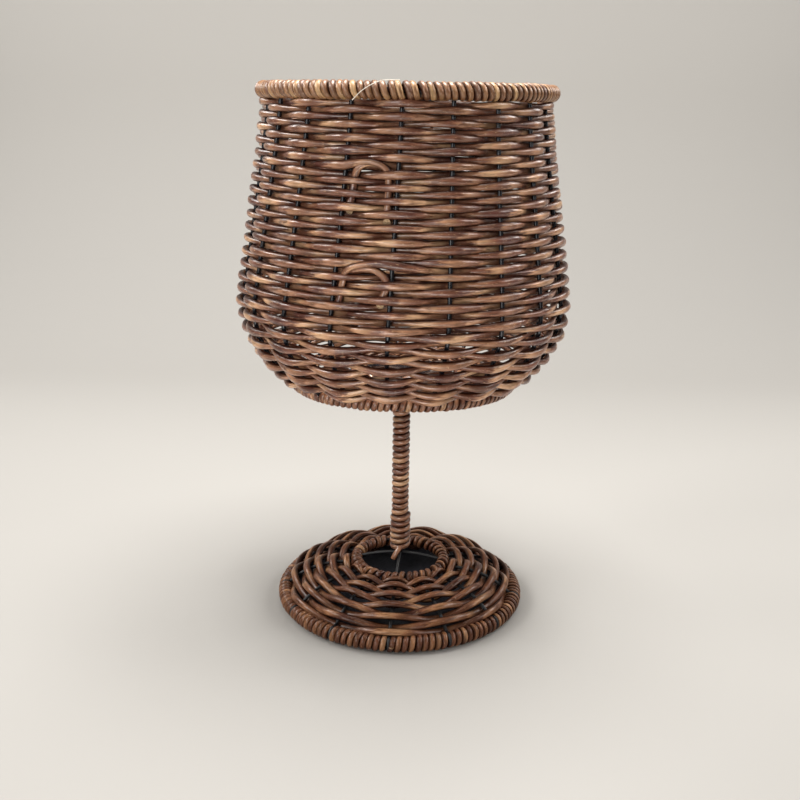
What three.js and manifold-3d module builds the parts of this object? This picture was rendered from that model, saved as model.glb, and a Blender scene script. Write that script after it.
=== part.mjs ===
// A goblet-shaped storage basket: a frame of black wire, plain-woven and bound with rattan core.
// Millimetres, +Z up. The base stands on z = 0, the axis is the z axis and the front faces -Y.
import * as THREE from "three";
import { mergeVertices } from "three/addons/utils/BufferGeometryUtils.js";
import Module from "manifold-3d";

// Fits
const clearance = 0.3; // left between any two pieces that touch
const weaveClearance = 0.45; // between a weaver and the straight facets of a bent stake
const degree = Math.PI / 180;

// Wire
const stakeRadius = 1.5;
const ringWireRadius = 1.5; // rim ring
const footWireRadius = 1.25; // ring under the bowl, ring inside the base, floor spokes
const baseWireRadius = 2; // ring the basket stands on
const crossWireRadius = 1;
const rodRadius = 2.5; // the stem's core

// Rattan
const weaverRadius = 1.55;
const levelRows = 20; // rows over which a level edge changes to an even spiral
const levelShare = 0.8; // share of a turn that a level row runs before it climbs
const windingRadius = 1.8; // strand wound round the stem
const tailRadius = 1; // pared end of that strand

// Bowl
const bowlStakes = 19; // odd, so one weaver passes over and under each stake in turn
const bowlFirstStake = -1.6 * degree; // at the rim, from the front towards +X
const bowlTwist = 4.85 * degree; // how far the stakes lean round from foot to rim
const bowlRows = 46;
const bowlRowEase = 0.04; // rows lie this share wider apart at the foot and closer at the rim
const bowlSplices = [7.5, 14.5, 22.5, 29, 36.5]; // rows at which one weaver ends and the next begins
const rimRadius = 86.5;
const rimHeight = 334.9;
const rimBindingRadius = 5.1;
const bellyRadius = 100.9; // stakes at their widest
const bellyHeight = 209;
const footRadius = 69.7;
const footHeight = 157.8;
const footBindingRadius = 4.85;

// Bowl floor
const floorSpokes = 11;
const floorRows = 10;
const hubRadius = 18;

// Stem
const windingPitch = 4.2;
const spliceHeight = 61.5; // where the upper winding ends and the lower one begins
const tailAngle = -50 * degree;

// Base
const baseStakes = 13;
const baseFirstStake = -4.5 * degree;
const baseRows = 11;
const baseRadius = 78.6;
const baseBindingRadius = 5.42;
const innerRadius = 30;
const innerHeight = 26.7;
const innerBindingRadius = 3.4;
const crossHeight = 31;
const crossFirstArm = -5 * degree;
const plateThickness = 2;

// Facets
const weaverSides = 4;
const wireSides = 5;
const belowBelly = 6; // steps of a bowl stake
const aboveBelly = 4;
const curlSteps = 8;

const rattan = new THREE.MeshStandardMaterial({
  color: 0x7d5636,
  roughness: 0.55,
  metalness: 0,
});
const darkRattan = new THREE.MeshStandardMaterial({
  color: 0x5e3f2a,
  roughness: 0.55,
  metalness: 0,
});
const blackWire = new THREE.MeshStandardMaterial({
  color: 0x17181d,
  roughness: 0.35,
  metalness: 0.2,
});

const basket = new THREE.Group();
basket.name = "goblet_basket";

function add(name, geometry, material) {
  const mesh = new THREE.Mesh(geometry, material);
  mesh.name = name;
  basket.add(mesh);
}

const numbered = (name, i) => name + "_" + String(i + 1).padStart(2, "0");

// The point at a radius, a height and an angle from the front.
function around(radius, height, angle) {
  return new THREE.Vector3(radius * Math.sin(angle), -radius * Math.cos(angle), height);
}

// The point a distance along a profile of (radius, height), moved out from it by an offset.
function onProfile(profile, along, angle, offset) {
  const share = THREE.MathUtils.clamp(along / profile.getLength(), 0, 1);
  const p = profile.getPoint(share);
  const t = profile.getTangent(share);
  return around(p.x + offset * t.y, p.y - offset * t.x, angle);
}

// The distance along a profile at which it comes to a height.
function alongAtHeight(profile, height) {
  let low = 0;
  let high = profile.getLength();
  while (high - low > 1e-4) {
    const middle = (low + high) / 2;
    if (profile.getPoint(middle / profile.getLength()).y < height) low = middle;
    else high = middle;
  }
  return low;
}

// A closed tube through a row of points. Each section has one corner turned towards `facing`.
function tube(points, radius, sides, facing) {
  const position = [];
  const index = [];
  const last = points.length - 1;
  for (let i = 0; i <= last; i++) {
    const ahead = points[Math.min(i + 1, last)];
    const behind = points[Math.max(i - 1, 0)];
    const tangent = ahead.clone().sub(behind).normalize();
    const u = facing(points[i]).clone();
    u.addScaledVector(tangent, -u.dot(tangent)).normalize();
    const v = tangent.clone().cross(u);
    const r = typeof radius === "function" ? radius(i) : radius;
    for (let k = 0; k < sides; k++) {
      const turn = (2 * Math.PI * k) / sides;
      const p = points[i].clone();
      p.addScaledVector(u, r * Math.cos(turn)).addScaledVector(v, r * Math.sin(turn));
      position.push(p.x, p.y, p.z);
    }
  }
  for (let i = 0; i < last; i++) {
    for (let k = 0; k < sides; k++) {
      const a = i * sides + k;
      const b = i * sides + ((k + 1) % sides);
      index.push(a, b, b + sides, a, b + sides, a + sides);
    }
  }
  for (let k = 1; k < sides - 1; k++) {
    const end = last * sides;
    index.push(0, k + 1, k, end, end + k, end + k + 1);
  }
  const geometry = new THREE.BufferGeometry();
  geometry.setAttribute("position", new THREE.Float32BufferAttribute(position, 3));
  geometry.setIndex(index);
  return geometry;
}

const fromAxis = (p) => new THREE.Vector3(p.x, p.y, 0);
const upwards = () => new THREE.Vector3(0, 0, 1);

// Points about a millimetre apart along a row of points.
function walk(points) {
  const fine = [];
  for (let i = 0; i + 1 < points.length; i++) {
    const parts = Math.ceil(points[i].distanceTo(points[i + 1]));
    for (let k = 0; k < parts; k++) fine.push(points[i].clone().lerp(points[i + 1], k / parts));
  }
  return fine;
}

// The least gap that a wound strand leaves to itself, between points well apart along it.
function selfGap(points, radius, apart) {
  const fine = walk(points);
  let least = Infinity;
  for (let i = 0; i < fine.length; i++) {
    for (let k = i + apart; k < fine.length; k++) {
      least = Math.min(least, fine[i].distanceToSquared(fine[k]));
    }
  }
  return Math.sqrt(least) - 2 * radius;
}

function addWound(name, points, radius, sides, facing, material) {
  const widest = typeof radius === "function" ? radius(0) : radius;
  add(name, tube(points, radius, sides, facing), material);
  console.log(name, "least gap to itself", selfGap(points, widest, 14).toFixed(2), "mm");
}

// How far along its profile a weaver has come after so many stakes.
// It climbs evenly, but next to a binding it keeps level and climbs a whole row at the back.
function spiral(from, to, rows, stakes, ease) {
  return (step) => {
    const row = Math.floor(step / stakes);
    const share = step / stakes - row;
    const level = Math.max(0, 1 - Math.min(row, rows - 1 - row) / levelRows);
    const climb = THREE.MathUtils.smoothstep(share, levelShare, 1);
    const way = (row + THREE.MathUtils.lerp(share, climb, level)) / (rows - 1);
    return from + (to - from) * (way + ease * way * (1 - way));
  };
}

const lastLevelStep = (rows, stakes) => 2 * Math.floor(((rows - 1 + levelShare) * stakes) / 2);

// Where a weaver lies: at every stake, outside one and inside the next, counted from the back.
function weaverPath(place, stakes, firstAngle, along, firstStep, lastStep, standOff) {
  const path = [];
  const cut = clearance + 0.2; // half the space between two spliced ends
  const back = (stakes - 1) / 2;
  for (let i = firstStep; i <= lastStep; i++) {
    const side = i % 2 === 0 ? -standOff : standOff;
    const angle = firstAngle + (2 * Math.PI * (i + back)) / stakes;
    path.push(place(along(i), angle, side));
  }
  const end = path.length - 1;
  path[0].lerp(path[1], cut / path[0].distanceTo(path[1]));
  path[end].lerp(path[end - 1], cut / path[end].distanceTo(path[end - 1]));
  return path;
}

// The section of a binding: rattan round a wire, open from one angle to another where wires come in.
function bindingSection(radius, height, outer, bore, open, steps) {
  const section = [];
  const boreSteps = 4;
  const boreCorner = bore / Math.cos(((open.boreFrom + 360 - open.boreTo) / boreSteps / 2) * degree);
  for (let i = 0; i <= steps; i++) {
    const turn = THREE.MathUtils.lerp(open.outerTo, open.outerFrom + 360, i / steps) * degree;
    section.push(new THREE.Vector2(radius + outer * Math.cos(turn), height + outer * Math.sin(turn)));
  }
  for (let i = 0; i <= boreSteps; i++) {
    const turn = THREE.MathUtils.lerp(open.boreFrom + 360, open.boreTo, i / boreSteps) * degree;
    section.push(
      new THREE.Vector2(radius + boreCorner * Math.cos(turn), height + boreCorner * Math.sin(turn)),
    );
  }
  section.push(section[0].clone());
  return section;
}

function turned(section, segments) {
  return new THREE.LatheGeometry(section, segments).rotateX(Math.PI / 2);
}

function wireRing(radius, height, wire, segments) {
  return new THREE.TorusGeometry(radius, wire, wireSides, segments).translate(0, 0, height);
}

// Joined shapes
const wasm = await Module();
wasm.setup();

function solid(geometry) {
  const bare = geometry.clone();
  bare.deleteAttribute("normal");
  bare.deleteAttribute("uv");
  const merged = mergeVertices(bare, 1e-4);
  return new wasm.Manifold(
    new wasm.Mesh({
      numProp: 3,
      vertProperties: new Float32Array(merged.attributes.position.array),
      triVerts: new Uint32Array(merged.index.array),
    }),
  );
}

function joined(geometries) {
  const mesh = wasm.Manifold.union(geometries.map(solid)).getMesh();
  const geometry = new THREE.BufferGeometry();
  geometry.setAttribute("position", new THREE.BufferAttribute(mesh.vertProperties, 3));
  geometry.setIndex(new THREE.BufferAttribute(mesh.triVerts, 1));
  return geometry;
}

// Bowl stakes follow one profile of radius and height, from the foot ring to inside the rim ring
const lipRadius = rimRadius - ringWireRadius - stakeRadius - clearance;
const foot = new THREE.Vector2(footRadius, footHeight);
const belly = new THREE.Vector2(bellyRadius, bellyHeight);
const lip = new THREE.Vector2(lipRadius, rimHeight);
const bowlProfile = new THREE.CurvePath();
bowlProfile.add(
  new THREE.CubicBezierCurve(
    foot,
    foot.clone().add(new THREE.Vector2(16, 12.5)),
    belly.clone().sub(new THREE.Vector2(0, 20)),
    belly,
  ),
);
bowlProfile.add(
  new THREE.CubicBezierCurve(
    belly,
    belly.clone().add(new THREE.Vector2(0, 11)),
    lip.clone().add(new THREE.Vector2(1.5, -29)),
    lip,
  ),
);
const bowlLength = bowlProfile.getLength();
const bowlStandOff = stakeRadius + weaverRadius + weaveClearance;

function onBowl(along, angle, offset) {
  return onProfile(bowlProfile, along, angle + bowlTwist * (along / bowlLength - 1), offset);
}

const stakeFoot = footWireRadius + clearance;
const bellyAlong = bowlProfile.curves[0].getLength();
const stakeStations = [];
for (let k = 0; k < belowBelly; k++) {
  stakeStations.push(THREE.MathUtils.lerp(stakeFoot, bellyAlong, k / belowBelly));
}
for (let k = 0; k <= aboveBelly; k++) {
  stakeStations.push(THREE.MathUtils.lerp(bellyAlong, bowlLength, k / aboveBelly));
}
for (let i = 0; i < bowlStakes; i++) {
  const angle = bowlFirstStake + (2 * Math.PI * i) / bowlStakes;
  const points = stakeStations.map((along) => onBowl(along, angle, 0));
  add(numbered("bowl_stake", i), tube(points, stakeRadius, wireSides, fromAxis), blackWire);
}

// Bowl weave, one spiral from the foot binding to the rim binding, spliced behind a stake
const reach = footBindingRadius + weaverRadius + clearance;
const weaveFrom = Math.sqrt(reach ** 2 - bowlStandOff ** 2) + clearance;
const weaveTo = alongAtHeight(bowlProfile, rimHeight - rimBindingRadius - weaverRadius - clearance);
const bowlAlong = spiral(weaveFrom, weaveTo, bowlRows, bowlStakes, bowlRowEase);
const evenStep = (row) => 2 * Math.round((row * bowlStakes) / 2);
const spliceSteps = [0, ...bowlSplices.map(evenStep), lastLevelStep(bowlRows, bowlStakes)];
for (let i = 0; i + 1 < spliceSteps.length; i++) {
  const path = weaverPath(
    onBowl,
    bowlStakes,
    bowlFirstStake,
    bowlAlong,
    spliceSteps[i],
    spliceSteps[i + 1],
    bowlStandOff,
  );
  addWound(numbered("bowl_weaver", i), path, weaverRadius, weaverSides, fromAxis, rattan);
}

// Rim and foot rings, each inside its binding
add("bowl_rim_ring", wireRing(rimRadius, rimHeight, ringWireRadius, 2 * bowlStakes), blackWire);
add(
  "bowl_rim_binding",
  turned(
    bindingSection(
      rimRadius,
      rimHeight,
      rimBindingRadius,
      ringWireRadius + clearance,
      { outerFrom: 168, outerTo: 260, boreFrom: 140, boreTo: 275 },
      7,
    ),
    2 * bowlStakes,
  ),
  rattan,
);
add("bowl_foot_ring", wireRing(footRadius, footHeight, footWireRadius, 2 * bowlStakes), blackWire);
add(
  "bowl_foot_binding",
  turned(
    bindingSection(
      footRadius,
      footHeight,
      footBindingRadius,
      footWireRadius + clearance,
      { outerFrom: 12, outerTo: 166, boreFrom: -25, boreTo: 170 },
      6,
    ),
    2 * bowlStakes,
  ),
  darkRattan,
);

// Bowl floor: spokes laid on the foot ring, joined by a hub on top of the stem
const spokeHeight = footHeight + 2 * footWireRadius + clearance;
const spokes = [];
for (let i = 0; i < floorSpokes; i++) {
  const angle = (2 * Math.PI * (i + 0.25)) / floorSpokes;
  const points = [around(hubRadius / 2, spokeHeight, angle), around(footRadius, spokeHeight, angle)];
  spokes.push(tube(points, footWireRadius, wireSides, upwards));
}
const hub = new THREE.CylinderGeometry(hubRadius, hubRadius, 2 * footWireRadius, 2 * floorSpokes);
hub.rotateX(Math.PI / 2).translate(0, 0, spokeHeight);
add("bowl_floor_spokes", joined([hub, ...spokes]), blackWire);

const floorStandOff = footWireRadius + weaverRadius + weaveClearance;
const floorFrom = hubRadius + weaverRadius + 4;
const floorTo = footRadius - footBindingRadius - weaverRadius - clearance;
const floorProfile = new THREE.CurvePath();
floorProfile.add(
  new THREE.LineCurve(new THREE.Vector2(floorFrom, spokeHeight), new THREE.Vector2(floorTo, spokeHeight)),
);
const floorPath = weaverPath(
  (along, angle, offset) => onProfile(floorProfile, along, angle, offset),
  floorSpokes,
  (2 * Math.PI * 0.25) / floorSpokes,
  (step) => ((floorTo - floorFrom) * step) / (floorRows * floorSpokes),
  0,
  floorRows * floorSpokes,
  floorStandOff,
);
addWound("bowl_floor_weaver", floorPath, weaverRadius, weaverSides, upwards, rattan);

// Stem: a rod with two windings; the upper strand's pared tail lies under the lower winding
const rodFrom = crossHeight + crossWireRadius + clearance;
const rodTo = spokeHeight - footWireRadius - clearance;
const rod = new THREE.CylinderGeometry(rodRadius, rodRadius, rodTo - rodFrom, 8);
add("stem_rod", rod.rotateX(Math.PI / 2).translate(0, 0, (rodFrom + rodTo) / 2), blackWire);

// A coil rising round a centre, its two ends running straight on for one strand diameter.
function coil(centre, radius, from, to, firstAngle) {
  const points = [];
  const steps = Math.round(((to - from) / windingPitch) * curlSteps);
  for (let i = 0; i <= steps; i++) {
    const angle = firstAngle + (2 * Math.PI * i) / curlSteps;
    points.push(around(radius, from + (windingPitch * i) / curlSteps, angle).add(centre));
  }
  return points;
}

const straightOn = (a, b) => b.clone().add(b.clone().sub(a).setLength(2 * windingRadius));
const stemFacing = (p) => new THREE.Vector3(p.x, p.y, 0.001);
const stemCoilRadius = rodRadius + clearance + windingRadius;
const stemTop = footHeight - footBindingRadius - windingRadius;
const upperCoil = coil(
  new THREE.Vector3(),
  stemCoilRadius / Math.cos(Math.PI / curlSteps),
  spliceHeight + windingRadius,
  stemTop,
  tailAngle + 45 * degree,
);
const tailAt = rodRadius + clearance + tailRadius;
const tail = [
  around(tailAt, crossHeight - 4.5, tailAngle),
  around(tailAt, spliceHeight - 2 * windingRadius, tailAngle),
  around(tailAt + 0.4, spliceHeight - 0.8, tailAngle),
];
const upperPath = [...tail, ...upperCoil];
upperPath.push(straightOn(upperPath.at(-2), upperPath.at(-1)));
const upperRadius = (i) => (i < tail.length ? tailRadius : windingRadius);
add("stem_winding_upper", tube(upperPath, upperRadius, weaverSides, stemFacing), rattan);
console.log("stem_winding_upper least gap to itself", selfGap(upperCoil, windingRadius, 14).toFixed(2), "mm");

// The lower winding holds the rod and the tail together, so it is wider and off the axis.
const bundleRadius = (2 * rodRadius + clearance + 2 * tailRadius) / 2;
const bundleCentre = around(bundleRadius - rodRadius, 0, tailAngle);
const lowerCoil = coil(
  bundleCentre,
  (bundleRadius + clearance + windingRadius) / Math.cos(Math.PI / curlSteps),
  crossHeight + crossWireRadius + windingRadius + clearance,
  spliceHeight - windingRadius - 1,
  tailAngle + 150 * degree,
);
lowerCoil.unshift(straightOn(lowerCoil[1], lowerCoil[0]));
lowerCoil.push(straightOn(lowerCoil.at(-2), lowerCoil.at(-1)));
addWound("stem_winding_lower", lowerCoil, windingRadius, weaverSides, stemFacing, rattan);

// Base: a low dome of stakes from the standing ring up to a small ring round the stem
const baseFacetHalf = 22.5; // half the angle of the binding's flat underside
const baseHeight = baseBindingRadius * Math.cos(baseFacetHalf * degree);
const innerStakeHeight = innerHeight - footWireRadius - stakeRadius - clearance;
const baseProfile = new THREE.CurvePath();
baseProfile.add(
  new THREE.CubicBezierCurve(
    new THREE.Vector2(baseRadius, baseHeight),
    new THREE.Vector2(baseRadius - 5.8, baseHeight + 9.8),
    new THREE.Vector2(innerRadius + 26, innerStakeHeight + 2),
    new THREE.Vector2(innerRadius, innerStakeHeight),
  ),
);
const baseLength = baseProfile.getLength();
const baseStakeFoot = baseWireRadius + clearance;
for (let i = 0; i < baseStakes; i++) {
  const angle = baseFirstStake + (2 * Math.PI * i) / baseStakes;
  const points = [];
  for (let k = 0; k <= 4; k++) {
    points.push(onProfile(baseProfile, THREE.MathUtils.lerp(baseStakeFoot, baseLength, k / 4), angle, 0));
  }
  add(numbered("base_stake", i), tube(points, stakeRadius, wireSides, fromAxis), blackWire);
}

const baseReach = baseBindingRadius + weaverRadius + clearance;
const baseFrom = Math.sqrt(baseReach ** 2 - bowlStandOff ** 2) + 2 * clearance;
const baseTo = baseLength - innerBindingRadius - weaverRadius - 6 * clearance;
const basePath = weaverPath(
  (along, angle, offset) => onProfile(baseProfile, along, angle, offset),
  baseStakes,
  baseFirstStake,
  spiral(baseFrom, baseTo, baseRows, baseStakes, 0),
  0,
  lastLevelStep(baseRows, baseStakes),
  bowlStandOff,
);
addWound("base_weaver", basePath, weaverRadius, weaverSides, fromAxis, darkRattan);

add("base_ring", wireRing(baseRadius, baseHeight, baseWireRadius, 3 * baseStakes), blackWire);
add(
  "base_binding",
  turned(
    bindingSection(
      baseRadius,
      baseHeight,
      baseBindingRadius,
      baseWireRadius + clearance,
      { outerFrom: 112.5, outerTo: 157.5, boreFrom: 85, boreTo: 185 },
      7,
    ),
    3 * baseStakes,
  ),
  darkRattan,
);
add("base_inner_ring", wireRing(innerRadius, innerHeight, footWireRadius, 2 * baseStakes), blackWire);
add(
  "base_inner_binding",
  turned(
    bindingSection(
      innerRadius,
      innerHeight,
      innerBindingRadius,
      footWireRadius + clearance,
      { outerFrom: 172, outerTo: 345, boreFrom: 172, boreTo: 345 },
      4,
    ),
    2 * baseStakes,
  ),
  darkRattan,
);

// Cross wires that carry the stem, arched from one side of the inner ring to the other
const crossEnd = innerRadius - footWireRadius - clearance;
const crossDrop = crossHeight - innerHeight + 1.8;
const crossWires = [0, 1].map((i) => {
  const angle = crossFirstArm + (i * Math.PI) / 2;
  const points = [-1, -0.6, 0, 0.6, 1].map((share) =>
    around(share * crossEnd, crossHeight - crossDrop * share ** 2, angle),
  );
  return tube(points, crossWireRadius, wireSides, upwards);
});
add("base_cross", joined(crossWires), blackWire);

// A flat plate closes the underside of the base
const plateRadius = baseRadius - baseBindingRadius - clearance;
const plate = new THREE.CylinderGeometry(plateRadius, plateRadius, plateThickness, 3 * baseStakes);
add("base_plate", plate.rotateX(Math.PI / 2).translate(0, 0, baseHeight - plateThickness / 2), blackWire);

export default basket;
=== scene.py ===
import bpy
import math
import numpy as np
from mathutils import Matrix, Vector


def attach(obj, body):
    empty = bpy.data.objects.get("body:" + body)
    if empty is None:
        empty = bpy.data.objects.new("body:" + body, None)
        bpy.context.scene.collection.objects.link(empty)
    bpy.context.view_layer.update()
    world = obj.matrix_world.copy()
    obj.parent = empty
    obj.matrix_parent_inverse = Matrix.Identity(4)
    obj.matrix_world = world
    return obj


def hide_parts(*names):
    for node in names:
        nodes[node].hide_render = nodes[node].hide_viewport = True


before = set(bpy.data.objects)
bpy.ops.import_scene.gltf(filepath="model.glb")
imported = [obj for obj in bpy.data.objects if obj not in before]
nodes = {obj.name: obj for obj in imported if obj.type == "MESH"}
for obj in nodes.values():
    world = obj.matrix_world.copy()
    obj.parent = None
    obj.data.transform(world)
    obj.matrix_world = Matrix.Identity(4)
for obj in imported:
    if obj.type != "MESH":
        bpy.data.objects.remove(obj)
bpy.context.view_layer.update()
mm = 0.001  # sizes below are in millimetres, meshes in metres
turn = 2 * math.pi
strandSides = 12  # faces round a strand or a wire
windingSides = 10  # faces round one that is wound, thin or hidden
print("frame loaded:", len(nodes), "nodes")

# Camera, where the photograph was taken from
cameraView = {
    "distance": 632,  # in front of the stem's axis
    "height": 330,
    "pitch": 16.69,  # degrees downwards
    "roll": 0.9,
    "lens": 45.0,
    "sensor": 36.0,
    "shiftX": -0.0032,
}


def placeCamera(view):
    data = bpy.data.cameras.new("photoCamera")
    data.sensor_width = view["sensor"]
    data.lens = view["lens"]
    data.shift_x = view["shiftX"]
    camera = bpy.data.objects.new("photoCamera", data)
    tilt = Matrix.Rotation(math.radians(90 - view["pitch"]), 4, "X")
    roll = Matrix.Rotation(math.radians(view["roll"]), 4, "Z")
    spot = Matrix.Translation((0, -view["distance"] * mm, view["height"] * mm))
    camera.matrix_world = spot @ tilt @ roll
    bpy.context.scene.collection.objects.link(camera)
    bpy.context.scene.camera = camera


placeCamera(cameraView)
bpy.context.scene.view_settings.view_transform = "Standard"
print("camera placed")


# Shader helpers
def addNode(tree, kind, **settings):
    node = tree.nodes.new(kind)
    for key, value in settings.items():
        setattr(node, key, value)
    return node


def srgb(r, g, b):  # 0 to 255, as a colour picker shows it
    def linear(c):
        c = c / 255
        return c / 12.92 if c <= 0.04045 else ((c + 0.055) / 1.055) ** 2.4

    return (linear(r), linear(g), linear(b), 1.0)


def feed(tree, value, socket):  # a number, a colour or another node's output
    if isinstance(value, (int, float, tuple)):
        socket.default_value = value
    else:
        tree.links.new(value, socket)


def mathNode(tree, operation, *values):
    node = addNode(tree, "ShaderNodeMath", operation=operation)
    for value, socket in zip(values, node.inputs):
        feed(tree, value, socket)
    return node.outputs[0]


def spread(tree, value, low, high, outLow=0.0, outHigh=1.0):
    node = addNode(tree, "ShaderNodeMapRange", clamp=True)
    tree.links.new(value, node.inputs["Value"])
    limits = {"From Min": low, "From Max": high, "To Min": outLow, "To Max": outHigh}
    for key, number in limits.items():
        node.inputs[key].default_value = number
    return node.outputs["Result"]


def mixColour(tree, factor, a, b):
    node = addNode(tree, "ShaderNodeMix", data_type="RGBA")
    for value, index in ((factor, 0), (a, 6), (b, 7)):  # the mix node's sockets for colours
        feed(tree, value, node.inputs[index])
    return node.outputs[2]


def noise(tree, dimensions, where, scale, detail=2.0, roughness=0.5):
    node = addNode(tree, "ShaderNodeTexNoise", noise_dimensions=dimensions)
    tree.links.new(where, node.inputs["W" if dimensions == "1D" else "Vector"])
    node.inputs["Scale"].default_value = scale
    node.inputs["Detail"].default_value = detail
    node.inputs["Roughness"].default_value = roughness
    return node.outputs["Fac"]


def bumped(tree, height, strength, depth):
    bump = addNode(tree, "ShaderNodeBump")
    bump.inputs["Strength"].default_value = strength
    bump.inputs["Distance"].default_value = depth
    tree.links.new(height, bump.inputs["Height"])
    return bump.outputs["Normal"]


def newMaterial(name):
    material = bpy.data.materials.new(name)
    material.use_nodes = True
    tree = material.node_tree
    return material, tree, tree.nodes["Principled BSDF"]


# Stained rattan, for every strand
strandSockets = {
    "INPUT": {
        "Strand": "Vector",
        "Honey": "Color",
        "Brown": "Color",
        "Plum": "Color",
        "Pale": "Color",
        # painted shade colour, for where strands touch
        "Painted Shade": "Color",
        "Honey Share": "Float",
        # strength of that painted shade
        "Crevice Shade": "Float",
        "Wax": "Float",
    },
    "OUTPUT": {"Colour": "Color", "Gloss": "Float", "Coat": "Float", "Relief": "Float"},
}
strandLook = {  # in centimetres along a strand and turns round it
    "shuffle": 170.0,  # every strand begins elsewhere in the pattern
    "fibreAlong": 1.2,
    "fibreRound": 9.0,
    "fibreNoise": (1.0, 3.0, 0.62),  # scale, detail and roughness
    "honeyNoise": (0.42, 1.2, 0.5),
    "plumNoise": (0.36, 1.2, 0.5),
    "scuffNoise": (3.1, 2.0, 0.5),
    "drawnOut": 1.8,  # fibres draw out the edges of a patch
    "askew": 0.9,  # a patch shifts on its way round the strand
    "plumApart": 531.0,  # plum patches don't follow the honey ones
    "honeyMask": (0.42, 0.62),  # lowest and highest value in, then out
    "paleMask": (0.58, 0.74, 0.0, 0.48),
    "plumMask": (0.52, 0.68, 0.0, 0.85),
    "scuffMask": (0.66, 0.74, 0.0, 0.5),
    "tint": (0.3, 0.7, 0.58, 1.34),
    "gloss": (0.3, 0.7, 0.46, 0.32),
    "worn": (0.36, 0.6, 0.35, 1.0),
    "outerSide": 0.5,  # of a turn, from the seam
    "touchFrom": (0.1, 0.185),  # turns away from the outer side; the painted shade where strands touch fades in over these and out over the next
    "touchTo": (0.42, 0.32),
}


def rattanStrandGroup(look):  # stain patches along a strand, long fibres and small scuffs
    tree = bpy.data.node_groups.new("rattanStrand", "ShaderNodeTree")
    for way, sockets in strandSockets.items():
        for label, kind in sockets.items():
            tree.interface.new_socket(label, in_out=way, socket_type="NodeSocket" + kind)
    given = addNode(tree, "NodeGroupInput")
    out = addNode(tree, "NodeGroupOutput")
    split = addNode(tree, "ShaderNodeSeparateXYZ")
    tree.links.new(given.outputs["Strand"], split.inputs[0])
    along = split.outputs["X"]  # centimetres along the strand
    across = split.outputs["Y"]  # strand number and the turn round it
    chance = addNode(tree, "ShaderNodeTexWhiteNoise", noise_dimensions="1D")
    tree.links.new(mathNode(tree, "FLOOR", across), chance.inputs["W"])
    start = mathNode(tree, "MULTIPLY", chance.outputs["Value"], look["shuffle"])
    place = mathNode(tree, "ADD", along, start)
    # Fibres run along the strand
    lay = addNode(tree, "ShaderNodeCombineXYZ")
    tree.links.new(mathNode(tree, "MULTIPLY", place, look["fibreAlong"]), lay.inputs[0])
    tree.links.new(mathNode(tree, "MULTIPLY", across, look["fibreRound"]), lay.inputs[1])
    fibre = noise(tree, "2D", lay.outputs[0], *look["fibreNoise"])
    # Honey patches on the brown, pale at heart where the stain hardly took
    drawn = mathNode(tree, "ADD", place, mathNode(tree, "MULTIPLY", fibre, look["drawnOut"]))
    drawn = mathNode(tree, "ADD", drawn, mathNode(tree, "MULTIPLY", across, look["askew"]))
    honey = noise(tree, "1D", drawn, *look["honeyNoise"])
    honey = mathNode(tree, "ADD", honey, given.outputs["Honey Share"])
    honeyMask = spread(tree, honey, *look["honeyMask"])
    colour = mixColour(tree, honeyMask, given.outputs["Brown"], given.outputs["Honey"])
    paleMask = spread(tree, honey, *look["paleMask"])
    colour = mixColour(tree, paleMask, colour, given.outputs["Pale"])
    # Plum stain, less often
    plum = noise(tree, "1D", mathNode(tree, "ADD", drawn, look["plumApart"]), *look["plumNoise"])
    plumMask = spread(tree, plum, *look["plumMask"])
    colour = mixColour(tree, plumMask, colour, given.outputs["Plum"])
    tinted = addNode(tree, "ShaderNodeVectorMath", operation="SCALE")
    tree.links.new(colour, tinted.inputs[0])
    tree.links.new(spread(tree, fibre, *look["tint"]), tinted.inputs["Scale"])
    # Small scuffs that show the pale pith
    scuff = noise(tree, "2D", lay.outputs[0], *look["scuffNoise"])
    scuffMask = spread(tree, scuff, *look["scuffMask"])
    colour = mixColour(tree, scuffMask, tinted.outputs[0], given.outputs["Pale"])
    # Painted shade: the colour darkens where neighbouring strands touch
    side = mathNode(tree, "SUBTRACT", mathNode(tree, "FRACT", across), look["outerSide"])
    beside = mathNode(tree, "ABSOLUTE", side)
    touchFrom = spread(tree, beside, *look["touchFrom"])
    touchTo = spread(tree, beside, *look["touchTo"])
    touching = mathNode(tree, "MINIMUM", touchFrom, touchTo)
    shadeMask = mathNode(tree, "MULTIPLY", touching, given.outputs["Crevice Shade"])
    colour = mixColour(tree, shadeMask, colour, given.outputs["Painted Shade"])
    # Wax lies on the open side and is worn off the low fibres
    waxed = mathNode(tree, "SUBTRACT", 1.0, shadeMask)
    waxed = mathNode(tree, "MULTIPLY", waxed, spread(tree, fibre, *look["worn"]))
    waxed = mathNode(tree, "MULTIPLY", waxed, given.outputs["Wax"])
    tree.links.new(colour, out.inputs["Colour"])
    tree.links.new(spread(tree, fibre, *look["gloss"]), out.inputs["Gloss"])
    tree.links.new(waxed, out.inputs["Coat"])
    tree.links.new(fibre, out.inputs["Relief"])
    return tree


rattanStrand = rattanStrandGroup(strandLook)
waxFinish = {"bumpDepth": 0.0004, "sheen": (255, 224, 190), "ior": 1.85}


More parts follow.
